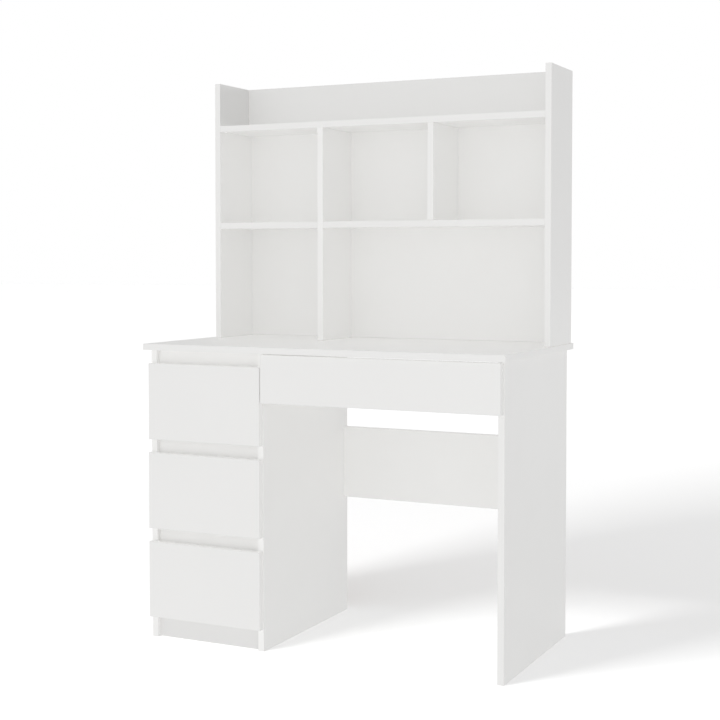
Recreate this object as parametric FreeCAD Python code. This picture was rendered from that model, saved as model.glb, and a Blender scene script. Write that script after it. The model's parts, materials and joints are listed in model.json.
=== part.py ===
import FreeCAD, Part
import os

# Student desk with a three-drawer pedestal, a pencil drawer and a shelf hutch.
# Millimetres. Origin on the floor under the middle of the desktop, +X right, -Y front, +Z up.

Vector = FreeCAD.Vector

# Board and sheet stock
board = 16.0            # melamine board of carcass, hutch and drawer fronts
box_board = 12.0        # board of the drawer boxes
sheet = 3.0             # hardboard of back panels and drawer bottoms

# Desk
desk_width = 980.0
desk_depth = 510.0
desk_height = 758.0
side_overhang = 10.0    # desktop past the end panels
front_overhang = 23.0   # desktop past the front edges of the panels
rear_overhang = 23.0
pedestal_width = 330.0
sheet_reveal = 1.0      # back sheets stop short of the panels they cover

# Fronts of the drawers
drawer_names = ("upper", "middle", "lower")
foot_gap = 55.0         # lowest front above the floor
finger_gap = 34.0       # open strip above each pedestal front
front_reveal = 2.0      # fronts stop short of the outer faces of the panels
front_gap = 1.0         # air between a closed front and the panels
pencil_front_height = 119.5
pencil_top_gap = 2.5
pencil_side_gap = 2.5   # between the pencil front and the pedestal fronts
pencil_end_reveal = 4.0 # pencil front stops short of the outer face of the leg

# Rails, plinth and modesty panel
rail_recess = 12.0      # rails and plinth behind the front edges of the panels
rail_overlap = 18.0     # rails reach behind the fronts
modesty_height = 194.0
modesty_inset = 5.0     # modesty panel ahead of the rear edges

# Hutch
hutch_left_inset = 20.0     # hutch sides in from the ends of the desktop
hutch_right_inset = 0.0
hutch_rear_setback = 21.0   # hutch boards ahead of the rear edge of the desktop
hutch_board_depth = 170.0
lower_bay = 299.0           # clear heights
upper_bay = 248.0
hutch_rail_height = 115.0
left_bay = 300.0            # clear widths
middle_bay = 300.0

# Drawer boxes
box_rear_gap = 65.0     # air behind a box, up to the back of the carcass
box_lift = 30.0         # lower edge of the box above that of its front
box_headroom = 45.0     # upper edge of the box below that of its front
pencil_box_lift = 12.0
pencil_box_headroom = 37.5
groove_lift = 10.0      # drawer bottom above the lower edge of the box
groove_depth = 6.0
groove_clearance = 0.2

# Roller runners
runner_gap = 12.5       # between box and cabinet
runner_steel = 1.2
runner_setback = 3.0    # cabinet runner behind the front edge of its panel
held_length = 100.0     # drawer runner that stays in the cabinet at full travel
channel_play = 0.7      # between the cabinet channel and the drawer runner's web
channel_lip = 3.2
track_edge = 5.8        # outer edge of the drawer runner's track, from the cabinet
guard_gap = 0.6         # between that edge and the flange that keeps the tail roller down
guard_play = 0.6        # between that flange and the tail roller
shelf_width = 10.0      # drawer runner's flange under the box side
shelf_lift = 4.0
roller_diameter = 17.0
roller_side_gap = 2.7   # between a roller and the drawer runner's web
roller_play = 0.3       # between a roller and the steel that it runs on
axle_diameter = 5.0
axle_clearance = 0.05
roller_offset = 1.2     # between a roller and the web behind it
axle_end = 0.6          # axle past the roller
front_roller_inset = 15.0
tail_roller_inset = 12.0
stop_height = 2.0
stop_length = 3.0

# Cam fittings and dowels
cam_diameter = 15.0
cam_depth = 12.5
cam_distance = 34.0     # cam centre from the end of its board
cam_slot_length = 9.0
cam_slot_width = 2.0
cam_slot_depth = 2.5
cam_sides = 8
bolt_diameter = 6.0
bolt_seat = 10.0        # bolt length in the face of a board
bolt_sides = 6
dowel_diameter = 8.0
dowel_length = 28.0
dowel_seat = 11.0       # dowel length in the face of a board
dowel_sides = 6         # flutes of a dowel
drill_clearance = 0.1
overrun = 1.0           # how far a cut passes the face it opens

# Places of fittings along a joint, as shares of its length
panel_cam_shares = (0.12, 0.88)
rail_cam_shares = (0.5,)
modesty_cam_shares = (0.2, 0.8)
top_shelf_cam_shares = (0.2, 0.7)
left_shelf_cam_shares = (0.35,)
right_shelf_cam_shares = (0.65,)
dowel_shares = (0.25, 0.75)

# Planes of the desk
top_under = desk_height - board
carcass_left = -desk_width / 2 + side_overhang
carcass_right = desk_width / 2 - side_overhang
carcass_front = -desk_depth / 2 + front_overhang
carcass_rear = desk_depth / 2 - rear_overhang
pedestal_right = carcass_left + pedestal_width
pedestal_inner_left = carcass_left + board
pedestal_inner_right = pedestal_right - board
leg_inner = carcass_right - board
rail_front = carcass_front + rail_recess
rail_rear = rail_front + board
front_rear = carcass_front - front_gap
front_face = front_rear - board

# Levels of the pedestal fronts, from the top down, and of the modesty panel in line with them
front_pitch = (top_under - foot_gap) / len(drawer_names)
front_height = front_pitch - finger_gap
front_tops = [top_under - finger_gap - i * front_pitch for i in range(len(drawer_names))]
front_bottoms = [top - front_height for top in front_tops]
pencil_front_top = top_under - pencil_top_gap
pencil_front_bottom = pencil_front_top - pencil_front_height
opening_bottom = foot_gap + rail_overlap
plinth_height = opening_bottom - board
modesty_top = front_bottoms[0]
modesty_bottom = modesty_top - modesty_height

# Planes of the hutch
hutch_left = -desk_width / 2 + hutch_left_inset
hutch_right = desk_width / 2 - hutch_right_inset
hutch_inner_left = hutch_left + board
hutch_inner_right = hutch_right - board
hutch_rear = desk_depth / 2 - hutch_rear_setback
hutch_front = hutch_rear - hutch_board_depth
middle_shelf_under = desk_height + lower_bay
middle_shelf_top = middle_shelf_under + board
top_shelf_under = middle_shelf_top + upper_bay
top_shelf_top = top_shelf_under + board
hutch_top = top_shelf_top + hutch_rail_height
tall_divider_left = hutch_inner_left + left_bay
tall_divider_right = tall_divider_left + board
short_divider_left = tall_divider_right + middle_bay
short_divider_right = short_divider_left + board

# Drawer boxes, as long as their runners
box_rear = carcass_rear - box_rear_gap
runner_length = box_rear - front_rear
drawer_travel = runner_length - held_length
box_height = front_height - box_lift - box_headroom
pencil_box_height = pencil_front_height - pencil_box_lift - pencil_box_headroom

# Section of the runners: distance from the cabinet face, height above the channel's underside
roller_radius = roller_diameter / 2
roller_level = runner_steel + roller_play + roller_radius
guard_under = roller_level + roller_radius + guard_play
guard_width = track_edge - guard_gap
channel_height = guard_under + runner_steel
track_under = roller_level + roller_radius + roller_play
track_top = track_under + runner_steel
web_outer = runner_gap - runner_steel
channel_width = web_outer - channel_play
shelf_top = shelf_lift + runner_steel
roller_near = runner_steel + roller_offset
roller_far = web_outer - roller_side_gap
cabinet_runner_front = carcass_front + runner_setback
front_roller_y = cabinet_runner_front + front_roller_inset
tail_roller_y = box_rear - tail_roller_inset

X = Vector(1, 0, 0)
Y = Vector(0, 1, 0)
Z = Vector(0, 0, 1)

holes = {}
cams = []
bolts = []
dowels = []


def slab(x, y, z):
    """A block between the given pairs of planes."""
    low = Vector(min(x), min(y), min(z))
    return Part.makeBox(max(x) - low.x, max(y) - low.y, max(z) - low.z, low)


def block(a, b):
    """A block between two opposite corners."""
    return slab((a.x, b.x), (a.y, b.y), (a.z, b.z))


def rod(start, direction, diameter, length):
    return Part.makeCylinder(diameter / 2, length, start, direction)


def peg(start, direction, diameter, length, sides):
    """A flat-sided rod, as small fittings and their holes are drawn."""
    radial = Vector(direction.y, direction.z, direction.x) * (diameter / 2)
    turn = FreeCAD.Rotation(direction, 360 / sides)
    corners = [start + radial]
    for _ in range(sides - 1):
        radial = turn.multVec(radial)
        corners.append(start + radial)
    return Part.Face(Part.makePolygon(corners + corners[:1])).extrude(direction * length)


def bore(node, start, direction, diameter, length, sides):
    """Note a blind hole in a board, opened a little past its face."""
    wide = diameter + 2 * drill_clearance
    hole = peg(start - direction * overrun, direction, wide, length + overrun + drill_clearance, sides)
    holes.setdefault(node, []).append(hole)


def drilled(node, solid):
    """The board with the holes that its joints need."""
    return solid.cut(holes[node]) if node in holes else solid


def cam_fitting(edge_node, face_node, seat, into, face):
    """A cam in the edge board, drawn on a bolt in the face board.

    The seat is where the bolt crosses the joint, into points into the edge board
    and face is the side of the edge board that shows the cam.
    """
    crown = seat + into * cam_distance + face * (board / 2)
    cam_rim = cam_distance - cam_diameter / 2
    bore(edge_node, crown, -face, cam_diameter, cam_depth, cam_sides)
    bore(edge_node, seat, into, bolt_diameter, cam_rim, bolt_sides)
    bore(face_node, seat, -into, bolt_diameter, bolt_seat, bolt_sides)
    bolts.append(peg(seat - into * bolt_seat, into, bolt_diameter, bolt_seat + cam_rim, bolt_sides))
    across = into.cross(face)
    half_slot = into * (cam_slot_length / 2) + across * (cam_slot_width / 2)
    slot = block(crown - half_slot + face * overrun, crown + half_slot - face * cam_slot_depth)
    cams.append(peg(crown, -face, cam_diameter, cam_depth, cam_sides).cut(slot))


def dowel_fitting(edge_node, face_node, seat, into):
    """A wood dowel across a joint."""
    bore(edge_node, seat, into, dowel_diameter, dowel_length - dowel_seat, dowel_sides)
    bore(face_node, seat, -into, dowel_diameter, dowel_seat, dowel_sides)
    dowels.append(peg(seat - into * dowel_seat, into, dowel_diameter, dowel_length, dowel_sides))


def cam_joint(edge_node, face_node, start, along, into, face, shares):
    """Cams spread along a joint that starts at a point and runs along a vector."""
    for share in shares:
        cam_fitting(edge_node, face_node, start + along * share, into, face)


def dowel_joint(edge_node, face_node, start, along, into):
    """Dowels spread along a joint in the same way."""
    for share in dowel_shares:
        dowel_fitting(edge_node, face_node, start + along * share, into)


def cams_between(node, left_node, right_node, left, right, y, z, along, face, shares):
    """Both ends of a board that stands between two upright panels."""
    cam_joint(node, left_node, Vector(left, y, z), along, X, face, shares)
    cam_joint(node, right_node, Vector(right, y, z), along, -X, face, shares)


def panel_tops():
    """The three upright panels under the desktop, cams on the sides that face the drawers."""
    depth = Y * (carcass_rear - carcass_front)
    for node, left, face in (("pedestal_left_side", carcass_left, X),
                             ("pedestal_right_side", pedestal_inner_right, -X),
                             ("right_leg_panel", leg_inner, -X)):
        start = Vector(left + board / 2, carcass_front, top_under)
        cam_joint(node, "desktop", start, depth, -Z, face, panel_cam_shares)


def pedestal_joints():
    sides = ("pedestal_left_side", "pedestal_right_side", pedestal_inner_left, pedestal_inner_right)
    for node, low, high in pedestal_rail_levels():
        cams_between(node, *sides, rail_front + board / 2, low, Z * (high - low), Y, rail_cam_shares)
    depth = Y * (carcass_rear - carcass_front)
    cams_between("pedestal_bottom_panel", *sides, carcass_front, plinth_height + board / 2, depth, -Z,
                 rail_cam_shares)
    rear = carcass_rear - modesty_inset - board / 2
    cams_between("modesty_panel", "pedestal_right_side", "right_leg_panel", pedestal_right, leg_inner,
                 rear, modesty_bottom, Z * modesty_height, Y, modesty_cam_shares)


def hutch_joints():
    depth = Y * (hutch_rear - hutch_front)
    sides = ("hutch_left_side", "hutch_right_side", hutch_inner_left, hutch_inner_right)
    cams_between("hutch_top_shelf", *sides, hutch_front, top_shelf_under + board / 2, depth, Z,
                 top_shelf_cam_shares)
    cams_between("hutch_back_rail", *sides, hutch_rear - board / 2, top_shelf_top, Z * hutch_rail_height,
                 Y, rail_cam_shares)
    shelf_level = middle_shelf_under + board / 2
    cams_between("hutch_left_shelf", "hutch_left_side", "hutch_tall_divider", hutch_inner_left,
                 tall_divider_left, hutch_front, shelf_level, depth, Z, left_shelf_cam_shares)
    cams_between("hutch_right_shelf", "hutch_tall_divider", "hutch_right_side", tall_divider_right,
                 hutch_inner_right, hutch_front, shelf_level, depth, Z, right_shelf_cam_shares)
    for node, left in (("hutch_tall_divider", tall_divider_left), ("hutch_short_divider", short_divider_left)):
        head = Vector(left + board / 2, hutch_front, top_shelf_under)
        dowel_joint(node, "hutch_top_shelf", head, depth, -Z)
    short_foot = Vector(short_divider_left + board / 2, hutch_front, middle_shelf_top)
    dowel_joint("hutch_short_divider", "hutch_right_shelf", short_foot, depth, Z)
    for node, left in (("hutch_left_side", hutch_left), ("hutch_tall_divider", tall_divider_left),
                       ("hutch_right_side", hutch_inner_right)):
        foot = Vector(left + board / 2, hutch_front, desk_height)
        dowel_joint(node, "desktop", foot, depth, Z)


def pedestal_rail_levels():
    """Name, underside and top of each board in the recessed plane of the pedestal."""
    levels = [("pedestal_top_rail", front_tops[0] - rail_overlap, top_under)]
    for node, above in (("pedestal_upper_rail", 0), ("pedestal_lower_rail", 1)):
        levels.append((node, front_tops[above + 1] - rail_overlap, front_bottoms[above] + rail_overlap))
    levels.append(("pedestal_plinth", 0, plinth_height))
    return levels


def carcass():
    depth = (carcass_front, carcass_rear)
    parts = {}
    parts["desktop"] = slab((-desk_width / 2, desk_width / 2), (-desk_depth / 2, desk_depth / 2),
                            (top_under, desk_height))
    parts["right_leg_panel"] = slab((leg_inner, carcass_right), depth, (0, top_under))
    parts["pedestal_left_side"] = slab((carcass_left, pedestal_inner_left), depth, (0, top_under))
    parts["pedestal_right_side"] = slab((pedestal_inner_right, pedestal_right), depth, (0, top_under))
    inside = (pedestal_inner_left, pedestal_inner_right)
    for node, low, high in pedestal_rail_levels():
        parts[node] = slab(inside, (rail_front, rail_rear), (low, high))
    parts["pedestal_bottom_panel"] = slab(inside, depth, (plinth_height, opening_bottom))
    modesty_rear = carcass_rear - modesty_inset
    parts["modesty_panel"] = slab((pedestal_right, leg_inner), (modesty_rear - board, modesty_rear),
                                  (modesty_bottom, modesty_top))
    parts["pedestal_back_sheet"] = slab((carcass_left + sheet_reveal, pedestal_right - sheet_reveal),
                                        (carcass_rear, carcass_rear + sheet),
                                        (plinth_height + sheet_reveal, top_under - sheet_reveal))
    return parts


def hutch():
    depth = (hutch_front, hutch_rear)
    parts = {}
    parts["hutch_left_side"] = slab((hutch_left, hutch_inner_left), depth, (desk_height, hutch_top))
    parts["hutch_right_side"] = slab((hutch_inner_right, hutch_right), depth, (desk_height, hutch_top))
    inside = (hutch_inner_left, hutch_inner_right)
    parts["hutch_top_shelf"] = slab(inside, depth, (top_shelf_under, top_shelf_top))
    parts["hutch_back_rail"] = slab(inside, (hutch_rear - board, hutch_rear), (top_shelf_top, hutch_top))
    parts["hutch_tall_divider"] = slab((tall_divider_left, tall_divider_right), depth,
                                       (desk_height, top_shelf_under))
    shelf = (middle_shelf_under, middle_shelf_top)
    parts["hutch_left_shelf"] = slab((hutch_inner_left, tall_divider_left), depth, shelf)
    parts["hutch_right_shelf"] = slab((tall_divider_right, hutch_inner_right), depth, shelf)
    parts["hutch_short_divider"] = slab((short_divider_left, short_divider_right), depth,
                                        (middle_shelf_top, top_shelf_under))
    parts["hutch_back_sheet"] = slab((hutch_left + sheet_reveal, hutch_right - sheet_reveal),
                                     (hutch_rear, hutch_rear + sheet),
                                     (desk_height + sheet_reveal, top_shelf_top - sheet_reveal))
    return parts


def strip(wall, way, base, front, length, section):
    """A pressed strip: a section of (distance from the wall, height) points carried along +Y."""
    points = [Vector(wall + way * out, front, base + up) for out, up in section]
    return Part.Face(Part.makePolygon(points + points[:1])).extrude(Y * length)


def axle(centre, way, length):
    """A riveted axle that grows from a web along X."""
    return rod(centre, X * way, axle_diameter, length)


def cabinet_runner(wall, way, base):
    """A steel channel on a panel, with the stop for the tail roller and the front roller's axle."""
    lip_inner = channel_width - runner_steel
    section = [(0, 0), (channel_width, 0), (channel_width, channel_lip), (lip_inner, channel_lip),
               (lip_inner, runner_steel), (runner_steel, runner_steel), (runner_steel, guard_under),
               (guard_width, guard_under), (guard_width, channel_height), (0, channel_height)]
    channel = strip(wall, way, base, cabinet_runner_front, runner_length, section)
    drop = roller_radius + roller_play - stop_height
    chord = (roller_radius ** 2 - drop ** 2) ** 0.5
    stop_rear = tail_roller_y - drawer_travel - chord - roller_play
    stop = slab((wall + way * roller_near, wall + way * roller_far), (stop_rear - stop_length, stop_rear),
                (base + runner_steel, base + runner_steel + stop_height))
    centre = Vector(wall + way * runner_steel, front_roller_y, base + roller_level)
    shaft = axle(centre, way, roller_far + axle_end - runner_steel)
    return channel.fuse([stop, shaft]).removeSplitter()


def drawer_runner(wall, way, base):
    """A steel strip that carries a box side, with the track and the tail roller's axle."""
    shelf_edge = runner_gap + shelf_width
    section = [(track_edge, track_under), (web_outer, track_under), (web_outer, shelf_lift),
               (shelf_edge, shelf_lift), (shelf_edge, shelf_top), (runner_gap, shelf_top),
               (runner_gap, track_top), (track_edge, track_top)]
    rail = strip(wall, way, base, front_rear, runner_length, section)
    centre = Vector(wall + way * web_outer, tail_roller_y, base + roller_level)
    shaft = axle(centre, -way, web_outer - roller_near + axle_end)
    return rail.fuse(shaft).removeSplitter()


def roller(wall, way, base, y):
    """A nylon roller with a bore for its axle."""
    start = Vector(wall + way * roller_near, y, base + roller_level)
    width = roller_far - roller_near
    wheel = rod(start, X * way, roller_diameter, width)
    return wheel.cut(rod(start, X * way, axle_diameter + 2 * axle_clearance, width))


def runners(name, left_wall, right_wall, box_bottom):
    """Both runners of a drawer, the fixed and moving strips and their rollers."""
    base = box_bottom - shelf_top
    walls = ((left_wall, 1), (right_wall, -1))
    cabinet = [cabinet_runner(wall, way, base) for wall, way in walls]
    parts = {
        f"{name}_drawer_runners": [drawer_runner(wall, way, base) for wall, way in walls],
        f"{name}_front_rollers": [roller(wall, way, base, front_roller_y) for wall, way in walls],
        f"{name}_tail_rollers": [roller(wall, way, base, tail_roller_y) for wall, way in walls],
    }
    return cabinet, {node: Part.makeCompound(solids) for node, solids in parts.items()}


def drawer(name, left_wall, right_wall, front_x, front_z, box_bottom, height):
    """A front, two sides, a back and a bottom that slides into grooves under the back."""
    left = left_wall + runner_gap
    right = right_wall - runner_gap
    inner_left = left + box_board
    inner_right = right - box_board
    length = (front_rear, box_rear)
    levels = (box_bottom, box_bottom + height)
    bottom_low = box_bottom + groove_lift
    bottom_top = bottom_low + sheet
    groove_left = inner_left - groove_depth
    groove_right = inner_right + groove_depth
    groove_front = front_rear - groove_depth
    groove = slab((groove_left, groove_right), (groove_front, box_rear + overrun),
                  (bottom_low - groove_clearance, bottom_top + groove_clearance))
    parts = {}
    parts["front"] = slab(front_x, (front_face, front_rear), front_z).cut(groove)
    parts["left_side"] = slab((left, inner_left), length, levels).cut(groove)
    parts["right_side"] = slab((inner_right, right), length, levels).cut(groove)
    parts["back"] = slab((inner_left, inner_right), (box_rear - box_board, box_rear),
                         (bottom_top, levels[1]))
    parts["bottom"] = slab((groove_left + groove_clearance, groove_right - groove_clearance),
                           (groove_front + groove_clearance, box_rear), (bottom_low, bottom_top))
    return {f"{name}_drawer_{piece}": solid for piece, solid in parts.items()}


def all_drawers():
    """The pedestal drawers and the pencil drawer, with the cabinet runners that carry them."""
    cabinet = []
    parts = {}
    pedestal = (pedestal_inner_left, pedestal_inner_right)
    pedestal_front_x = (carcass_left + front_reveal, pedestal_right - front_reveal)
    for name, low, high in zip(drawer_names, front_bottoms, front_tops):
        steel, rolling = runners(name, *pedestal, low + box_lift)
        cabinet += steel
        parts.update(rolling)
        parts.update(drawer(name, *pedestal, pedestal_front_x, (low, high), low + box_lift, box_height))
    pencil = (pedestal_right, leg_inner)
    pencil_front_x = (pedestal_front_x[1] + pencil_side_gap, carcass_right - pencil_end_reveal)
    pencil_box_bottom = pencil_front_bottom + pencil_box_lift
    steel, rolling = runners("pencil", *pencil, pencil_box_bottom)
    parts.update(rolling)
    parts.update(drawer("pencil", *pencil, pencil_front_x, (pencil_front_bottom, pencil_front_top),
                        pencil_box_bottom, pencil_box_height))
    parts["pedestal_runners"] = Part.makeCompound(cabinet)
    parts["knee_space_runners"] = Part.makeCompound(steel)
    return parts


def desk():
    """Every node of the desk by name."""
    panel_tops()
    pedestal_joints()
    hutch_joints()
    boards = {**carcass(), **hutch()}
    nodes = {node: drilled(node, solid) for node, solid in boards.items()}
    nodes.update(all_drawers())
    nodes["cam_housings"] = Part.makeCompound(cams)
    nodes["cam_bolts"] = Part.makeCompound(bolts)
    nodes["wood_dowels"] = Part.makeCompound(dowels)
    return nodes


os.makedirs("parts", exist_ok=True)
for node, shape in desk().items():
    shape.exportStep(f"parts/{node}.step")
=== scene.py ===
import json
import math

import bpy
import numpy as np
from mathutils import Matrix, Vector


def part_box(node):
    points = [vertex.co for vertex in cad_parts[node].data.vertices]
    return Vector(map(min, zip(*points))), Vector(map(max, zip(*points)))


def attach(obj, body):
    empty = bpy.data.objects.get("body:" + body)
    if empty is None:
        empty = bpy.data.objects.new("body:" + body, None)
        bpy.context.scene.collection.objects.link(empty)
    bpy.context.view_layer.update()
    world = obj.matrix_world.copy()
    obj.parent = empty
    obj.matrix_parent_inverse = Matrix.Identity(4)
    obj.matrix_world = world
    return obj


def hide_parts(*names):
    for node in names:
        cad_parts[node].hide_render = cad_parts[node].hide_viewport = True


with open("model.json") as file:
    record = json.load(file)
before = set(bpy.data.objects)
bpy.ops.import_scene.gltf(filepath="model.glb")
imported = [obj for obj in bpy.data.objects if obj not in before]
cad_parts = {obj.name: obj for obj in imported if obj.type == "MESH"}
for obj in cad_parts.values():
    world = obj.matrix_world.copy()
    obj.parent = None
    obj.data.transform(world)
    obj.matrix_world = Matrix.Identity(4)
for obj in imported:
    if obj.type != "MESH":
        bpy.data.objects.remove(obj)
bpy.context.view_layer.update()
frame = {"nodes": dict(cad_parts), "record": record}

# White student desk with a shelf hutch. Metres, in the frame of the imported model.

DRAWERS = ("upper", "middle", "lower", "pencil")

UP = np.array((0.0, 0.0, 1.0))
RIGHT = np.array((1.0, 0.0, 0.0))
REAR = np.array((0.0, 1.0, 0.0))

# Small edges of the stock
BOARD_ARRIS = 0.0005            # rounding of banded board edges
SHEET_ARRIS = 0.0003
STEEL_ARRIS = 0.00025
ARRIS_SEGMENTS = 2
SHARP_EDGE = math.radians(40.0)     # edges that turn more than this are rounded
FLAT_FACE = math.radians(1.0)       # faces that turn less than this are one
SAME_CORNER = 0.00001               # corners nearer than this are one
BAND_THICKNESS = 0.0009         # edge band, seen as a hairline on the broad faces
HAIRLINE = 0.00012
OUT_OF_REACH = 1.0              # keeps a board's thickness out of the hairline's measure

# Heads of the fittings
EMBED = 0.0004                  # how far a head is let into what carries it
CAM_RIM_RADIUS = 0.0084
CAM_RISE = 0.0006
CAM_FACE_RINGS = (0.0, 0.08, 0.16, 0.24, 0.32, 0.40, 0.48, 0.56, 0.64, 0.70)    # shares of the radius
CAM_GROOVE_RINGS = (0.745, 0.76, 0.78, 0.795)
CAM_RIM_RINGS = (0.90, 0.96, 1.0)
CAM_GROOVE_LEVEL = 0.45         # shares of the rise
CAM_RIM_LEVEL = 0.55
NAIL_RADIUS = 0.0021
NAIL_RISE = 0.0006
RUNNER_SCREW_RADIUS = 0.0034
RUNNER_SCREW_RISE = 0.0003
BOX_SCREW_RADIUS = 0.0048
BOX_SCREW_RISE = 0.0005
BUMPER_RADIUS = 0.004
BUMPER_RISE = 0.0009
RIVET_RADIUS = 0.0036
RIVET_RISE = 0.0005

# Places of the fittings
CAM_DISTANCE = 0.034            # cam centre from the end of its board
PANEL_CAM_SHARES = (0.12, 0.88)     # along the depth of the upright panels
FRONT_CAM_SHARES = (0.35, 0.75)     # up the sides of a drawer box
BOX_SCREW_SHARES = (0.45, 0.85)
BOX_SCREW_INSET = 0.006         # from the rear end of the drawer side
NAIL_SPACING = 0.075
NAIL_INSET = 0.007              # from the edges of a back sheet
BOTTOM_NAIL_INSET = 0.03        # from the ends of a drawer back
BUMPER_INSET = 0.006            # from the ends of a drawer front
BUMPER_DROP = 0.028             # from the top of a drawer front
CABINET_SCREW_INSETS = (0.070, 0.260, 0.356)    # from the front end of the drawer side
STRIP_SCREW_INSETS = (0.040, 0.168, 0.328)
STRIP_SCREW_LIFT = 0.002        # above the roller axles

# Runner section, as the pressed strips have it
RUNNER_STEEL = 0.0012
RUNNER_GAP = 0.0125

# Rollers
ROLLER_WIDTH = 0.0062
ROLLER_BORE_RADIUS = 0.00255
ROLLER_BORE_ARRIS = 0.0003
ROLLER_HUB_WALL = 0.0013
ROLLER_RIM_WALL = 0.0020
ROLLER_SHOULDER = 0.0009        # rounding of the tread
ROLLER_SHOULDER_MIDDLE = 0.3    # share of the shoulder that is taken off at its middle
ROLLER_RECESS = 0.0008          # depth of the side between the ribs
ROLLER_RECESS_STEP = 0.0001     # depth of the ribs
ROLLER_RECESS_FLANK = 0.0003
ROLLER_RIBS = 6
RIB_CREST = 0.75                # part of the ribs' cosine where the recess starts
RIB_FLANK = 0.35


def box_of(node):
    """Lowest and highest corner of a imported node, as arrays."""
    low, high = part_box(node)
    return np.array(low), np.array(high)


# Node trees

def add(tree, kind, sockets=None, **settings):
    """Add a node to a tree, with its options and the values or links of its input sockets."""
    made = tree.nodes.new(kind)
    for key, value in settings.items():
        setattr(made, key, value)
    for key, value in (sockets or {}).items():
        if isinstance(value, bpy.types.NodeSocket):
            tree.links.new(value, made.inputs[key])
        else:
            made.inputs[key].default_value = value
    return made


def new_material(name):
    """An empty material with a Principled shader, its tree and its object coordinates."""
    made = bpy.data.materials.new(name)
    made.use_nodes = True
    tree = made.node_tree
    tree.nodes.clear()
    shader = add(tree, "ShaderNodeBsdfPrincipled")
    add(tree, "ShaderNodeOutputMaterial", {"Surface": shader.outputs[0]})
    place = add(tree, "ShaderNodeTexCoord").outputs["Object"]
    return made, tree, shader, place


def noise(tree, place, scale, detail=2.0, roughness=0.5):
    """Clouds of a given fineness, as a value round one half."""
    return add(tree, "ShaderNodeTexNoise", {"Vector": place, "Scale": scale, "Detail": detail,
                                            "Roughness": roughness}).outputs["Fac"]


def spread(tree, value, low, high, start=0.0, end=1.0):
    """Carry a value from start..end to low..high."""
    return add(tree, "ShaderNodeMapRange", {0: value, 1: start, 2: end, 3: low, 4: high}).outputs[0]


def math_node(tree, operation, a, b=0.0):
    """Two values put together by an operation."""
    return add(tree, "ShaderNodeMath", {0: a, 1: b}, operation=operation).outputs[0]


def vector_node(tree, operation, a, b=None):
    """One or two vectors put together by an operation, as a node."""
    sockets = {0: a} if b is None else {0: a, 1: b}
    return add(tree, "ShaderNodeVectorMath", sockets, operation=operation)


def mixed(tree, share, a, b):
    """One colour laid over another by a share."""
    return add(tree, "ShaderNodeMix", {0: share, 6: a, 7: b}, data_type="RGBA").outputs[2]


def coated(tree, shader, colour, roughness):
    """Give a shader its colour and its roughness."""
    tree.links.new(colour, shader.inputs["Base Color"])
    tree.links.new(roughness, shader.inputs["Roughness"])


def bumped(tree, shader, height, strength, distance):
    """Raise the surface a little by a height."""
    bump = add(tree, "ShaderNodeBump", {"Height": height, "Strength": strength, "Distance": distance})
    tree.links.new(bump.outputs[0], shader.inputs["Normal"])


def facing(tree, way):
    """1 where the surface faces along a direction, 0 elsewhere."""
    normal = add(tree, "ShaderNodeTexCoord").outputs["Normal"]
    along = vector_node(tree, "DOT_PRODUCT", normal, tuple(way)).outputs["Value"]
    return spread(tree, along, low=0.0, high=1.0, start=0.5, end=0.7)


# Finishes

WHITE = (0.875, 0.872, 0.862, 1.0)
WHITE_SHADE = (0.857, 0.854, 0.844, 1.0)
SEAM = (0.60, 0.595, 0.58, 1.0)
CHIP_LIGHT = (0.56, 0.41, 0.25, 1.0)
CHIP_DARK = (0.27, 0.17, 0.09, 1.0)
FIBRE_LIGHT = (0.33, 0.215, 0.125, 1.0)
FIBRE_DARK = (0.20, 0.12, 0.065, 1.0)
COAT_LIGHT = (0.80, 0.79, 0.76, 1.0)
COAT_DARK = (0.74, 0.73, 0.70, 1.0)
ZINC_LIGHT = (0.62, 0.62, 0.61, 1.0)
ZINC_DARK = (0.46, 0.46, 0.47, 1.0)
NYLON_LIGHT = (0.78, 0.76, 0.70, 1.0)
NYLON_DARK = (0.71, 0.69, 0.63, 1.0)
NYLON_DEPTH = (0.004, 0.0036, 0.003)    # how far red, green and blue light goes in
BUMPER_LIGHT = (0.86, 0.86, 0.84, 1.0)
BUMPER_DARK = (0.80, 0.80, 0.78, 1.0)
BEECH_LIGHT = (0.62, 0.43, 0.26, 1.0)
BEECH_DARK = (0.44, 0.28, 0.15, 1.0)
FLOOR_LIGHT = (0.90, 0.90, 0.90, 1.0)
FLOOR_DARK = (0.885, 0.885, 0.885, 1.0)
PURE_WHITE = (1.0, 1.0, 1.0, 1.0)

# Painted shade and painted light: the plinth and the hutch back rail are made greyer where they lie in
# shade, the drawer rails whiter to lift the shade in their recesses, and some front edge bands whiter
BOARD_PAINTED_SHADE_AND_LIGHT = {"pedestal_plinth": 0.90, "hutch_back_rail": 0.935, "pedestal_top_rail": 1.05,
               "pedestal_upper_rail": 1.05, "pedestal_lower_rail": 1.05}
# Front edge bands made whiter than the board faces: painted light on the front-facing faces
BAND_PAINTED_LIGHT = {"hutch_tall_divider": 1.035, "hutch_short_divider": 1.01, "pedestal_left_side": 1.03,
              "pedestal_right_side": 1.06}

SEAM_DEPTH = 1.5                # of the band hairline, as a share of the pearl grain's height
CHIP_ROUGHNESS = 0.45           # what raw chipboard adds to the roughness
FIBRE_ROUGHNESS = 0.42
FIBRE_MOTTLE = 0.6
LACQUERED_FIBRE = 0.15          # share of the fibres' height that shows through the lacquer


def toned(colour, tone):
    """A colour made lighter or darker by a factor."""
    return tuple(np.array(colour) * (tone, tone, tone, 1.0))


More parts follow.
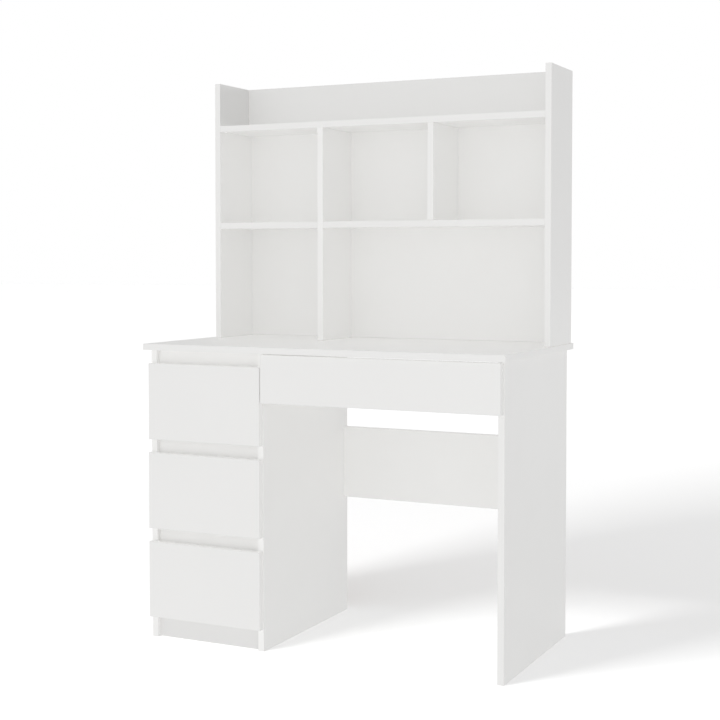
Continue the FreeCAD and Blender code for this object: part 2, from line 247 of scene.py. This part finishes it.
def chipboard(tree, place):
    """Pressed wood chips on a cut edge: cells of two browns broken by noise."""
    chips = add(tree, "ShaderNodeTexVoronoi", {"Vector": place, "Scale": 420.0, "Randomness": 1.0})
    splinters = noise(tree, place, scale=160.0, detail=4.0)
    tone = math_node(tree, "ADD", chips.outputs["Distance"], splinters)
    browns = spread(tree, tone, low=0.0, high=1.0, start=0.45, end=1.15)
    return mixed(tree, browns, CHIP_LIGHT, CHIP_DARK)


def band_hairline(tree, place, low, high, across):
    """Where the edge band meets the face: 1 on a thin line that runs one band thickness in
    from the ends of the board, measured on the nearer end along each axis but its thickness."""
    from_low = vector_node(tree, "SUBTRACT", place, tuple(low)).outputs[0]
    from_high = vector_node(tree, "SUBTRACT", tuple(high), place).outputs[0]
    nearer = vector_node(tree, "MINIMUM", from_low, from_high).outputs[0]
    aside = [OUT_OF_REACH if axis == across else -BAND_THICKNESS for axis in range(3)]
    inside = vector_node(tree, "ADD", nearer, aside).outputs[0]
    off = vector_node(tree, "ABSOLUTE", inside).outputs[0]
    parts = add(tree, "ShaderNodeSeparateXYZ", {0: off}).outputs
    least = math_node(tree, "MINIMUM", math_node(tree, "MINIMUM", parts[0], parts[1]), parts[2])
    return spread(tree, least, low=1.0, high=0.0, start=HAIRLINE * 0.5, end=HAIRLINE)


def melamine(node, raw_foot):
    """Satin white laminate with a faint pearl grain, an edge band hairline and, where the lower edge has no
    band, raw chipboard. Some boards carry painted shade (darker) and some carry painted light (lighter) in
    their colour, and some front edge bands carry painted light."""
    made, tree, shader, place = new_material(f"melamine_{node}")
    low, high = box_of(node)
    across = int(np.argmin(high - low))
    # tone is painted shade on the plinth and the back rail (darker) and painted light on the drawer rails
    # (lighter)
    tone = BOARD_PAINTED_SHADE_AND_LIGHT.get(node, 1.0)
    clouds = noise(tree, place, scale=7.0, detail=3.0)
    colour = mixed(tree, clouds, toned(WHITE, tone), toned(WHITE_SHADE, tone))
    # the front-facing faces of these boards are painted lighter: painted light on their front edge bands
    if node in BAND_PAINTED_LIGHT:
        colour = mixed(tree, facing(tree, -REAR), colour, toned(WHITE, BAND_PAINTED_LIGHT[node]))
    hairline = band_hairline(tree, place, low, high, across)
    colour = mixed(tree, hairline, colour, SEAM)
    roughness = spread(tree, noise(tree, place, scale=55.0), low=0.36, high=0.46)
    pearl = noise(tree, place, scale=1400.0, roughness=0.6)
    height = math_node(tree, "SUBTRACT", pearl, math_node(tree, "MULTIPLY", hairline, SEAM_DEPTH))
    if raw_foot:
        foot = facing(tree, -UP)
        colour = mixed(tree, foot, colour, chipboard(tree, place))
        roughness = math_node(tree, "ADD", roughness, math_node(tree, "MULTIPLY", foot, CHIP_ROUGHNESS))
    coated(tree, shader, colour, roughness)
    bumped(tree, shader, height, strength=0.12, distance=0.0001)
    return made


def hardboard(name, raw_way):
    """Thin fibre sheet with white lacquer. The face that looks along the raw way, if one is given, is
    raw brown fibre."""
    made, tree, shader, place = new_material(name)
    fibres = noise(tree, place, scale=240.0, detail=6.0, roughness=0.7)
    colour = mixed(tree, noise(tree, place, scale=5.0, detail=3.0), WHITE, WHITE_SHADE)
    roughness = spread(tree, fibres, low=0.36, high=0.44)
    relief = LACQUERED_FIBRE
    if raw_way is not None:
        rear = facing(tree, raw_way)
        mottle = math_node(tree, "MULTIPLY", noise(tree, place, scale=9.0, detail=3.0), FIBRE_MOTTLE)
        tone = math_node(tree, "ADD", fibres, mottle)
        browns = spread(tree, tone, low=0.0, high=1.0, start=0.45, end=1.15)
        colour = mixed(tree, rear, colour, mixed(tree, browns, FIBRE_LIGHT, FIBRE_DARK))
        roughness = math_node(tree, "ADD", roughness, math_node(tree, "MULTIPLY", rear, FIBRE_ROUGHNESS))
        relief = spread(tree, rear, low=LACQUERED_FIBRE, high=1.0)
    coated(tree, shader, colour, roughness)
    bumped(tree, shader, math_node(tree, "MULTIPLY", fibres, relief), strength=0.2, distance=0.0002)
    return made


def coated_steel():
    """White powder coat with a fine orange peel, a little creamier than the boards."""
    made, tree, shader, place = new_material("coated_steel")
    peel = noise(tree, place, scale=650.0)
    clouds = noise(tree, place, scale=30.0, detail=3.0)
    roughness = spread(tree, clouds, low=0.26, high=0.38)
    coated(tree, shader, mixed(tree, clouds, COAT_LIGHT, COAT_DARK), roughness)
    bumped(tree, shader, peel, strength=0.25, distance=0.0001)
    return made


def bright_zinc():
    """Zinc with blotchy crystals and fine turning marks."""
    made, tree, shader, place = new_material("bright_zinc")
    shader.inputs["Metallic"].default_value = 1.0
    crystals = add(tree, "ShaderNodeTexVoronoi", {"Vector": place, "Scale": 900.0}).outputs["Color"]
    tone = math_node(tree, "ADD", crystals, noise(tree, place, scale=300.0, detail=4.0))
    blotches = spread(tree, tone, low=0.0, high=1.0, start=0.4, end=1.4)
    roughness = spread(tree, tone, low=0.28, high=0.46, start=0.3, end=1.5)
    coated(tree, shader, mixed(tree, blotches, ZINC_LIGHT, ZINC_DARK), roughness)
    bumped(tree, shader, noise(tree, place, scale=1500.0), strength=0.15, distance=0.0001)
    return made


def nylon():
    """Milky moulded nylon, lit a little from inside."""
    made, tree, shader, place = new_material("milky_nylon")
    shader.inputs["Subsurface Weight"].default_value = 0.35
    shader.inputs["Subsurface Radius"].default_value = NYLON_DEPTH
    shader.inputs["Subsurface Scale"].default_value = 1.0
    flow = noise(tree, place, scale=120.0, detail=3.0)
    roughness = spread(tree, flow, low=0.30, high=0.42)
    coated(tree, shader, mixed(tree, flow, NYLON_LIGHT, NYLON_DARK), roughness)
    bumped(tree, shader, noise(tree, place, scale=900.0), strength=0.1, distance=0.0001)
    return made


def clear_bumper():
    """Soft clear plastic of the bumpers behind the drawer fronts."""
    made, tree, shader, place = new_material("clear_bumper")
    shader.inputs["Transmission Weight"].default_value = 0.6
    shader.inputs["IOR"].default_value = 1.48
    haze = noise(tree, place, scale=500.0, detail=3.0)
    roughness = spread(tree, haze, low=0.16, high=0.30)
    coated(tree, shader, mixed(tree, haze, BUMPER_LIGHT, BUMPER_DARK), roughness)
    return made


def raw_beech():
    """Beech with short flecks along the grain."""
    made, tree, shader, place = new_material("raw_beech")
    grain = noise(tree, place, scale=260.0, detail=5.0, roughness=0.7)
    roughness = spread(tree, grain, low=0.55, high=0.75)
    coated(tree, shader, mixed(tree, grain, BEECH_LIGHT, BEECH_DARK), roughness)
    bumped(tree, shader, grain, strength=0.3, distance=0.0002)
    return made


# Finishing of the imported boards, sheets and strips

def smooth_shading():
    """A modifier tree that shades all faces smoothly, for the small rounded edges."""
    tree = bpy.data.node_groups.new("smooth_shading", "GeometryNodeTree")
    tree.interface.new_socket("Geometry", in_out="INPUT", socket_type="NodeSocketGeometry")
    tree.interface.new_socket("Geometry", in_out="OUTPUT", socket_type="NodeSocketGeometry")
    entry = tree.nodes.new("NodeGroupInput")
    smooth = add(tree, "GeometryNodeSetShadeSmooth", {"Geometry": entry.outputs[0]})
    leave = tree.nodes.new("NodeGroupOutput")
    tree.links.new(smooth.outputs[0], leave.inputs[0])
    return tree


SMOOTH = smooth_shading()


def ease_edges(piece, arris):
    """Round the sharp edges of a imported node: merge its loose triangles, dissolve flat faces and bevel."""
    weld = piece.modifiers.new("merge_triangles", "WELD")
    weld.merge_threshold = SAME_CORNER
    flat = piece.modifiers.new("flat_faces", "DECIMATE")
    flat.decimate_type = "DISSOLVE"
    flat.angle_limit = FLAT_FACE
    bevel = piece.modifiers.new("arris", "BEVEL")
    bevel.width = arris
    bevel.segments = ARRIS_SEGMENTS
    bevel.limit_method = "ANGLE"
    bevel.angle_limit = SHARP_EDGE
    bevel.loop_slide = False
    piece.modifiers.new("smooth", "NODES").node_group = SMOOTH
    piece.modifiers.new("normals", "WEIGHTED_NORMAL").weight = 100


def nodes_of(slot):
    """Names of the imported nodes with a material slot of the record."""
    return [part["node"] for part in frame["record"]["subparts"] if part["material_slot"] == slot]


def dress(node, material):
    """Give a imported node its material."""
    frame["nodes"][node].material_slots[0].material = material


def dress_boards():
    """Laminate on every board. Upright boards stand on raw chipboard, unless they are banded all round."""
    for node in nodes_of("white_board"):
        low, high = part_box(node)
        size = high - low
        upright = size.z > min(size.x, size.y)
        banded_all_round = node.endswith("_front") or node == "modesty_panel"
        dress(node, melamine(node, upright and not banded_all_round))
        ease_edges(frame["nodes"][node], BOARD_ARRIS)


def dress_sheets():
    """Hardboard on the back sheets, raw behind, and on the drawer bottoms."""
    back = hardboard("hardboard_back", REAR)
    bottom = hardboard("hardboard_bottom", None)
    for node in nodes_of("white_sheet"):
        dress(node, bottom if node.endswith("_bottom") else back)
        ease_edges(frame["nodes"][node], SHEET_ARRIS)


def dress_runners(steel):
    """Powder coat on the pressed runners."""
    for node in nodes_of("runner_steel"):
        dress(node, steel)
        ease_edges(frame["nodes"][node], STEEL_ARRIS)


# Surfaces on grids

def closed_turning(rows, sides, relief=None):
    """A turned solid: rows of (radius, height) from the top pole down to the foot pole, carried round
    an axis, with relief(points) taken off the height. Gives points, quads and the two fans."""
    rows = np.array(rows)
    angle = np.arange(sides) * (2 * np.pi / sides)
    x = rows[1:-1, :1] * np.cos(angle)
    y = rows[1:-1, :1] * np.sin(angle)
    z = np.repeat(rows[1:-1, 1:], sides, axis=1)
    ring = np.stack((x, y, z), axis=-1).reshape(-1, 3)
    top = np.array(((0.0, 0.0, rows[0, 1]),))
    foot = np.array(((0.0, 0.0, rows[-1, 1]),))
    points = np.concatenate((top, ring, foot))
    if relief is not None:
        points[:, 2] -= relief(points)
    count = len(rows) - 2
    at = 1 + np.arange(count * sides).reshape(count, sides)
    turned = np.roll(at, -1, axis=1)
    quads = np.stack((at[:-1], at[1:], turned[1:], turned[:-1]), axis=-1).reshape(-1, 4)
    crown = np.stack((np.zeros(sides, int), at[0], turned[0]), axis=-1)
    base = np.stack((np.full(sides, len(points) - 1), turned[-1], at[-1]), axis=-1)
    return points, quads, np.concatenate((crown, base))


def between_ribs(angle):
    """0 on the ribs of a roller and 1 between them: a cosine with one crest for each rib, turned over
    and clipped so that its flanks are soft."""
    wave = np.cos(angle * ROLLER_RIBS)
    return np.clip((RIB_CREST - wave) / RIB_FLANK, 0.0, 1.0)


def ribbed_ring(rows, sides):
    """A turned ring: a closed loop of (radius, height, relief) rows carried round an axis, with the
    relief taken off the height between the ribs."""
    rows = np.array(rows)
    angle = np.arange(sides) * (2 * np.pi / sides)
    x = rows[:, :1] * np.cos(angle)
    y = rows[:, :1] * np.sin(angle)
    z = rows[:, 1:2] - rows[:, 2:] * between_ribs(angle)
    points = np.stack((x, y, z), axis=-1).reshape(-1, 3)
    at = np.arange(len(points)).reshape(len(rows), sides)
    after = np.roll(at, -1, axis=0)
    quads = np.stack((at, after, np.roll(after, -1, axis=1), np.roll(at, -1, axis=1)), axis=-1)
    return points, quads.reshape(-1, 4), np.zeros((0, 3), int)


def cross_recess(arm, width, depth):
    """A cross for a driver: depth within two bars of a given arm and half width, with soft flanks.
    The foot of the head is left as it is."""
    flank = width * 0.5

    def taken(points):
        x = np.abs(points[:, 0])
        y = np.abs(points[:, 1])
        bar_x = np.clip((arm - x) / flank, 0, 1) * np.clip((width - y) / flank, 0, 1)
        bar_y = np.clip((arm - y) / flank, 0, 1) * np.clip((width - x) / flank, 0, 1)
        above_foot = points[:, 2] > -EMBED * 0.5
        return depth * np.maximum(bar_x, bar_y) * above_foot

    return taken


def let_in(rows):
    """Rows of a head with a rim added, that goes down into what carries the head."""
    radius = rows[-1, 0]
    return np.concatenate((rows, ((radius, -EMBED), (0.0, -EMBED))))


def domed_rows(radius, rise, crown, rings):
    """Rows of a head: height is rise less crown times the fourth power of the share of the radius."""
    share = np.linspace(0.0, 1.0, rings)
    height = rise - crown * share ** 4
    return let_in(np.stack((share * radius, height), axis=-1))


def cam_head():
    """Cam lock: rings of one height, lower in a fine groove round the cam and at the outer rim, with a
    cross for the driver."""
    shares = np.array(CAM_FACE_RINGS + CAM_GROOVE_RINGS + CAM_RIM_RINGS)
    heights = np.full(len(shares), CAM_RISE)
    groove = len(CAM_FACE_RINGS)
    heights[groove + 1:groove + 3] *= CAM_GROOVE_LEVEL
    heights[-1] *= CAM_RIM_LEVEL
    rows = let_in(np.stack((shares * CAM_RIM_RADIUS, heights), axis=-1))
    cross = cross_recess(arm=CAM_RIM_RADIUS * 0.52, width=CAM_RIM_RADIUS * 0.13, depth=CAM_RISE * 0.8)
    return closed_turning(rows, sides=56, relief=cross)


def screw_head(radius, rise):
    """A low domed head with a cross for the driver."""
    cross = cross_recess(arm=radius * 0.55, width=radius * 0.14, depth=rise * 0.7)
    rows = domed_rows(radius, rise, crown=rise * 0.45, rings=12)
    return closed_turning(rows, sides=40, relief=cross)


def nail_head():
    """A small domed head."""
    rows = domed_rows(NAIL_RADIUS, NAIL_RISE, crown=NAIL_RISE * 0.6, rings=4)
    return closed_turning(rows, sides=12)


def bumper_dome():
    """A soft round dome."""
    rows = domed_rows(BUMPER_RADIUS, BUMPER_RISE, crown=BUMPER_RISE * 0.75, rings=8)
    return closed_turning(rows, sides=24)


def rivet_head():
    """The flattened end of a roller axle, a low dome."""
    rows = domed_rows(RIVET_RADIUS, RIVET_RISE, crown=RIVET_RISE * 0.6, rings=8)
    return closed_turning(rows, sides=32)


def roller_wheel(radius):
    """A nylon wheel: tread with rounded shoulders, ribbed side recesses, hub and bore. The rows go round
    the section from the inner end of the bore, out over one side, along the tread and back."""
    half = ROLLER_WIDTH / 2
    bore = ROLLER_BORE_RADIUS
    hub = bore + ROLLER_HUB_WALL
    rim = radius - ROLLER_RIM_WALL
    web = half - ROLLER_RECESS_STEP
    eased = ROLLER_SHOULDER * ROLLER_SHOULDER_MIDDLE
    side = [(bore, half - ROLLER_BORE_ARRIS, 0.0), (bore + ROLLER_BORE_ARRIS, half, 0.0),
            (hub, half, 0.0), (hub + ROLLER_RECESS_FLANK, web, ROLLER_RECESS),
            (rim - ROLLER_RECESS_FLANK, web, ROLLER_RECESS), (rim, half, 0.0),
            (radius - ROLLER_SHOULDER, half, 0.0), (radius - eased, half - eased, 0.0),
            (radius, half - ROLLER_SHOULDER, 0.0)]
    other = [(r, -z, -relief) for r, z, relief in side[::-1]]
    return ribbed_ring(side + other, sides=72)


def turned_towards(axis):
    """Three columns that carry a shape's own axes to a right-handed set with the third along axis."""
    first = np.roll(axis, 1)
    return np.stack((first, np.cross(axis, first), axis), axis=-1)


def repeated(shape, seats, axis):
    """A shape set at many seats, all along one axis."""
    points, quads, fans = shape
    turned = points @ turned_towards(axis).T
    seats = np.array(seats, float)
    every = (seats[:, None] + turned[None]).reshape(-1, 3)
    step = (np.arange(len(seats)) * len(points))[:, None, None]
    return every, (quads[None] + step).reshape(-1, 4), (fans[None] + step).reshape(-1, 3)


def gathered(shapes):
    """Several sets of points and faces as one."""
    starts = np.cumsum([0] + [len(shape[0]) for shape in shapes[:-1]])
    points = np.concatenate([shape[0] for shape in shapes])
    quads = np.concatenate([shape[1] + start for shape, start in zip(shapes, starts)])
    fans = np.concatenate([shape[2] + start for shape, start in zip(shapes, starts)])
    return points, quads, fans


def new_piece(name, shape, body, material):
    """Put a shape into a mesh, smooth it and let it ride on a body."""
    points, quads, fans = shape
    mesh = bpy.data.meshes.new(name)
    mesh.from_pydata(points.tolist(), [], quads.tolist() + fans.tolist())
    mesh.polygons.foreach_set("use_smooth", np.ones(len(mesh.polygons), bool))
    mesh.materials.append(material)
    mesh.update()
    piece = bpy.data.objects.new(name, mesh)
    bpy.context.scene.collection.objects.link(piece)
    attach(piece, body)
    return piece


# Fittings in their seats

def board_seats(node, ends, along, face, shares, inset):
    """Points on the face of a board, at an inset from its ends and at shares of its length along."""
    low, high = box_of(node)
    middle = (low + high) / 2
    half = (high - low) / 2
    seats = []
    for end in ends:
        for share in shares:
            reach = face * half + end * (half - inset) + along * half * (2 * share - 1)
            seats.append(middle + reach)
    return seats


def cam_locks(zinc):
    """Every cam of the carcass and the hutch, on the faces that show them."""
    head = cam_head()
    ends = (-RIGHT, RIGHT)
    table = [("pedestal_left_side", (UP,), REAR, RIGHT, PANEL_CAM_SHARES),
             ("pedestal_right_side", (UP,), REAR, -RIGHT, PANEL_CAM_SHARES),
             ("right_leg_panel", (UP,), REAR, -RIGHT, PANEL_CAM_SHARES),
             ("pedestal_bottom_panel", ends, REAR, -UP, (0.5,)),
             ("modesty_panel", ends, UP, REAR, (0.2, 0.8)),
             ("hutch_top_shelf", ends, REAR, UP, (0.2, 0.7)),
             ("hutch_back_rail", ends, UP, REAR, (0.5,)),
             ("hutch_left_shelf", ends, REAR, UP, (0.35,)),
             ("hutch_right_shelf", ends, REAR, UP, (0.65,))]
    table += [(f"pedestal_{board}", ends, UP, REAR, (0.5,))
              for board in ("top_rail", "upper_rail", "lower_rail", "plinth")]
    shapes = [repeated(head, board_seats(node, at, along, face, shares, CAM_DISTANCE), face)
              for node, at, along, face, shares in table]
    locks = new_piece("cam_locks", gathered(shapes), "frame", zinc)
    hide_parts("cam_housings")


def nail_line(start, end):
    """Even places from one point to another, about one nail spacing apart."""
    start = np.array(start)
    end = np.array(end)
    count = max(2, int(round(np.linalg.norm(end - start) / NAIL_SPACING)) + 1)
    return list(start + (end - start) * np.linspace(0.0, 1.0, count)[:, None])


def sheet_nails(zinc):
    """Nails down both sides of the back sheets, along the pedestal's foot and the hutch's top, and
    along the two middle shelves."""
    seats = []
    for node in ("pedestal_back_sheet", "hutch_back_sheet"):
        low, high = box_of(node)
        left, right = low[0] + NAIL_INSET, high[0] - NAIL_INSET
        foot, head = low[2] + NAIL_INSET, high[2] - NAIL_INSET
        rear = high[1]
        level = head
        if node.startswith("pedestal"):
            head -= NAIL_INSET
            level = foot
        for x in (left, right):
            seats += nail_line((x, rear, foot), (x, rear, head))
        seats += nail_line((left, rear, level), (right, rear, level))[1:-1]
    rear = box_of("hutch_back_sheet")[1][1]
    for node in ("hutch_left_shelf", "hutch_right_shelf"):
        low, high = box_of(node)
        level = (low[2] + high[2]) / 2
        seats += nail_line((low[0] + CAM_DISTANCE, rear, level), (high[0] - CAM_DISTANCE, rear, level))
    new_piece("sheet_nails", repeated(nail_head(), seats, REAR), "frame", zinc)


def runner_walls(name):
    """Left and right cabinet faces of a drawer, each with the way into the cabinet."""
    left = box_of(f"{name}_drawer_left_side")[0][0] - RUNNER_GAP
    right = box_of(f"{name}_drawer_right_side")[1][0] + RUNNER_GAP
    return ((left, 1.0), (right, -1.0))


def runner_screws(zinc):
    """Flat screws through the webs of the runners: into the panels, and into the drawer sides."""
    head = screw_head(RUNNER_SCREW_RADIUS, RUNNER_SCREW_RISE)
    fixed = []
    for name in DRAWERS:
        moving = []
        front = box_of(f"{name}_drawer_left_side")[0][1]
        level = sum(box_of(f"{name}_front_rollers"))[2] / 2
        for wall, way in runner_walls(name):
            inward = RIGHT * way
            web = wall + way * RUNNER_STEEL
            places = [(web, front + inset, level) for inset in CABINET_SCREW_INSETS]
            fixed.append(repeated(head, places, inward))
            strip = wall + way * (RUNNER_GAP - RUNNER_STEEL)
            places = [(strip, front + inset, level + STRIP_SCREW_LIFT) for inset in STRIP_SCREW_INSETS]
            moving.append(repeated(head, places, -inward))
        new_piece(f"{name}_runner_screws", gathered(moving), f"{name}_drawer", zinc)
    new_piece("cabinet_runner_screws", gathered(fixed), "frame", zinc)


def rollers_and_rivets(milky, zinc):
    """Both wheels of each axle pair in place of the plain ones, and the rivet heads that keep them on.
    Front rivets show on the inner sides of the wheels, and tail rivets on the outer sides."""
    rivet = rivet_head()
    fixed = []
    for name in DRAWERS:
        moving = []
        for kind in ("front", "tail"):
            node = f"{name}_{kind}_rollers"
            low, high = box_of(node)
            wheel = roller_wheel((high[2] - low[2]) / 2)
            y, z = (low[1] + high[1]) / 2, (low[2] + high[2]) / 2
            wheels = []
            for near, way in ((low[0], 1.0), (high[0], -1.0)):
                wheels.append(repeated(wheel, [(near + way * ROLLER_WIDTH / 2, y, z)], RIGHT))
                if kind == "front":
                    seat = near + way * (ROLLER_WIDTH + EMBED)
                    fixed.append(repeated(rivet, [(seat, y, z)], RIGHT * way))
                else:
                    seat = near - way * EMBED
                    moving.append(repeated(rivet, [(seat, y, z)], RIGHT * -way))
            pair = new_piece(f"{name}_{kind}_wheels", gathered(wheels), node, milky)
            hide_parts(node)
        new_piece(f"{name}_tail_rivets", gathered(moving), f"{name}_drawer", zinc)
    new_piece("front_roller_rivets", gathered(fixed), "frame", zinc)


def drawer_fittings(zinc, clear):
    """Screws of the drawer boxes, cams behind the fronts, nails of the bottoms and bumpers against
    the carcass. The pencil drawer has its one bumper at the leg."""
    screw = screw_head(BOX_SCREW_RADIUS, BOX_SCREW_RISE)
    cam = cam_head()
    for name in DRAWERS:
        body = f"{name}_drawer"
        heads = []
        for side, out in (("left", -RIGHT), ("right", RIGHT)):
            node = f"{name}_drawer_{side}_side"
            places = board_seats(node, (REAR,), UP, out, BOX_SCREW_SHARES, BOX_SCREW_INSET)
            heads.append(repeated(screw, places, out))
            places = board_seats(node, (-REAR,), UP, -out, FRONT_CAM_SHARES, CAM_DISTANCE)
            heads.append(repeated(cam, places, -out))
        low, high = box_of(f"{name}_drawer_back")
        under = box_of(f"{name}_drawer_bottom")[0][2]
        y = (low[1] + high[1]) / 2
        line = nail_line((low[0] + BOTTOM_NAIL_INSET, y, under), (high[0] - BOTTOM_NAIL_INSET, y, under))
        heads.append(repeated(nail_head(), line, -UP))
        new_piece(f"{name}_box_fittings", gathered(heads), body, zinc)
        low, high = box_of(f"{name}_drawer_front")
        ends = [high[0] - BUMPER_INSET]
        if name != "pencil":
            ends.append(low[0] + BUMPER_INSET)
        domes = repeated(bumper_dome(), [(x, high[1], high[2] - BUMPER_DROP) for x in ends], REAR)
        new_piece(f"{name}_bumpers", domes, body, clear)


# Studio

PHOTO_WIDTH = 720.0             # pixels of the square photograph
FOCAL_PIXELS = 1377.028
CENTRE_ROW = 311.45             # row of the photograph on the optical axis
CAMERA_PLACE = (1.54385, -3.17156, 0.97527)
CAMERA_PITCH = math.radians(2.2)        # downwards
CAMERA_YAW = math.radians(25.9212)      # to the left
SENSOR = 36.0                   # millimetres
FAR_CLIP = 200.0

# Softbox at the front left that lights the floor alone and draws its shadow
KEY_PLACE = (-1.55, -3.0, 2.6)
KEY_AIM = (0.2, 0.4, 0.2)
KEY_SIZE = (1.2, 0.9)
KEY_POWER = 4.89

# Weak fills from far away
FILL_RIGHT = 0.496
FILL_RIGHT_WAY = (-0.87, -0.5, 0.0)
FILL_RIGHT_SPREAD = math.radians(12.0)
FILL_FRONT = 0.49
FILL_TOP = 0.593
FILL_UNDER = 0.45

# Light from all round, with what each axis adds to it
AMBIENT = 0.706
AMBIENT_TILT = (-0.051, -0.1135, -0.09)

# Floor, with its own glow near the desk and what is added to that far out
FLOOR_REACH = 40.0
FLOOR_LINES = 9
FLOOR_GLOW = 0.06
FAR_GLOW = 0.19
GLOW_START = 2.0                # metres from the middle of the desk
GLOW_END = 6.0


def camera():
    """A camera at the photograph's place, with its lens shifted upright."""
    lens = bpy.data.cameras.new("camera")
    lens.sensor_width = SENSOR
    lens.lens = FOCAL_PIXELS / PHOTO_WIDTH * SENSOR
    lens.shift_y = (CENTRE_ROW - PHOTO_WIDTH / 2) / PHOTO_WIDTH
    lens.clip_end = FAR_CLIP
    eye = bpy.data.objects.new("camera", lens)
    eye.location = CAMERA_PLACE
    eye.rotation_euler = (math.pi / 2 - CAMERA_PITCH, 0.0, CAMERA_YAW)
    bpy.context.scene.collection.objects.link(eye)
    bpy.context.scene.camera = eye


def pale_floor():
    """Matt white studio floor with the faintest cloud in it, that glows into the backdrop far out."""
    made, tree, shader, place = new_material("studio_floor")
    clouds = noise(tree, place, scale=0.6)
    tree.links.new(mixed(tree, clouds, FLOOR_LIGHT, FLOOR_DARK), shader.inputs["Base Color"])
    shader.inputs["Roughness"].default_value = 0.9
    shader.inputs["Specular IOR Level"].default_value = 0.1
    shader.inputs["Emission Color"].default_value = PURE_WHITE
    away = vector_node(tree, "LENGTH", place).outputs["Value"]
    glow = spread(tree, away, FLOOR_GLOW, FLOOR_GLOW + FAR_GLOW, GLOW_START, GLOW_END)
    tree.links.new(glow, shader.inputs["Emission Strength"])
    return made


def floor():
    """A wide flat grid under the desk: even lines along X and Y at height zero."""
    side = np.linspace(-FLOOR_REACH, FLOOR_REACH, FLOOR_LINES)
    x, y = np.meshgrid(side, side)
    points = np.stack((x, y, np.zeros_like(x)), axis=-1).reshape(-1, 3)
    at = np.arange(len(points)).reshape(x.shape)
    quads = np.stack((at[:-1, :-1], at[:-1, 1:], at[1:, 1:], at[1:, :-1]), axis=-1).reshape(-1, 4)
    mesh = bpy.data.meshes.new("studio_floor")
    mesh.from_pydata(points.tolist(), [], quads.tolist())
    mesh.materials.append(pale_floor())
    ground = bpy.data.objects.new("studio_floor", mesh)
    bpy.context.scene.collection.objects.link(ground)
    ground.visible_diffuse = False
    return ground


def lamp(name, kind, way, strength):
    """A light that shines along a direction."""
    light = bpy.data.lights.new(name, kind)
    light.energy = strength
    holder = bpy.data.objects.new(name, light)
    holder.rotation_euler = Vector(way).to_track_quat("-Z", "Y").to_euler()
    bpy.context.scene.collection.objects.link(holder)
    return holder, light


def key_softbox(ground):
    """The softbox whose shadow lies on the floor, equally strong near and far."""
    way = np.array(KEY_AIM) - np.array(KEY_PLACE)
    holder, light = lamp("key_softbox", "AREA", way, KEY_POWER)
    holder.location = KEY_PLACE
    light.shape = "RECTANGLE"
    light.size, light.size_y = KEY_SIZE
    light.use_nodes = True
    tree = light.node_tree
    tree.nodes.clear()
    even = add(tree, "ShaderNodeLightFalloff", {"Strength": 1.0})
    glow = add(tree, "ShaderNodeEmission", {"Strength": even.outputs["Constant"]})
    add(tree, "ShaderNodeOutputLight", {"Surface": glow.outputs[0]})
    lit = bpy.data.collections.new("floor_light")
    lit.objects.link(ground)
    holder.light_linking.receiver_collection = lit


def fill_from_right():
    """A fill from the right and a little behind, that only the hutch's back rail keeps off."""
    holder, light = lamp("fill_right", "SUN", FILL_RIGHT_WAY, FILL_RIGHT)
    light.angle = FILL_RIGHT_SPREAD
    in_the_way = bpy.data.collections.new("fill_right_blockers")
    in_the_way.objects.link(frame["nodes"]["hutch_back_rail"])
    holder.light_linking.blocker_collection = in_the_way


def studio_lights(ground):
    """The softbox, the fill from the right, and fills from the front, above and below with no shadow."""
    key_softbox(ground)
    fill_from_right()
    for name, way, strength in (("fill_front", REAR, FILL_FRONT), ("fill_top", -UP, FILL_TOP),
                                ("fill_under", UP, FILL_UNDER)):
        lamp(name, "SUN", way, strength)[1].use_shadow = False


def surroundings():
    """Light from all round, a little stronger from the left, the front and below, and a white backdrop."""
    world = bpy.data.worlds.new("studio")
    world.use_nodes = True
    tree = world.node_tree
    tree.nodes.clear()
    way = add(tree, "ShaderNodeTexCoord").outputs["Generated"]
    tilt = vector_node(tree, "DOT_PRODUCT", way, AMBIENT_TILT).outputs["Value"]
    light = math_node(tree, "ADD", tilt, AMBIENT)
    seen = add(tree, "ShaderNodeLightPath").outputs["Is Camera Ray"]
    strength = math_node(tree, "MAXIMUM", light, seen)
    back = add(tree, "ShaderNodeBackground", {"Color": PURE_WHITE, "Strength": strength})
    add(tree, "ShaderNodeOutputWorld", {"Surface": back.outputs[0]})
    bpy.context.scene.world = world
    bpy.context.scene.view_settings.view_transform = "Standard"


def desk():
    """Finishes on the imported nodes, and the fittings."""
    zinc = bright_zinc()
    dress_boards()
    dress_sheets()
    dress_runners(coated_steel())
    dress("cam_bolts", zinc)
    dress("wood_dowels", raw_beech())
    cam_locks(zinc)
    sheet_nails(zinc)
    runner_screws(zinc)
    rollers_and_rivets(nylon(), zinc)
    drawer_fittings(zinc, clear_bumper())


desk()
camera()
studio_lights(floor())
surroundings()
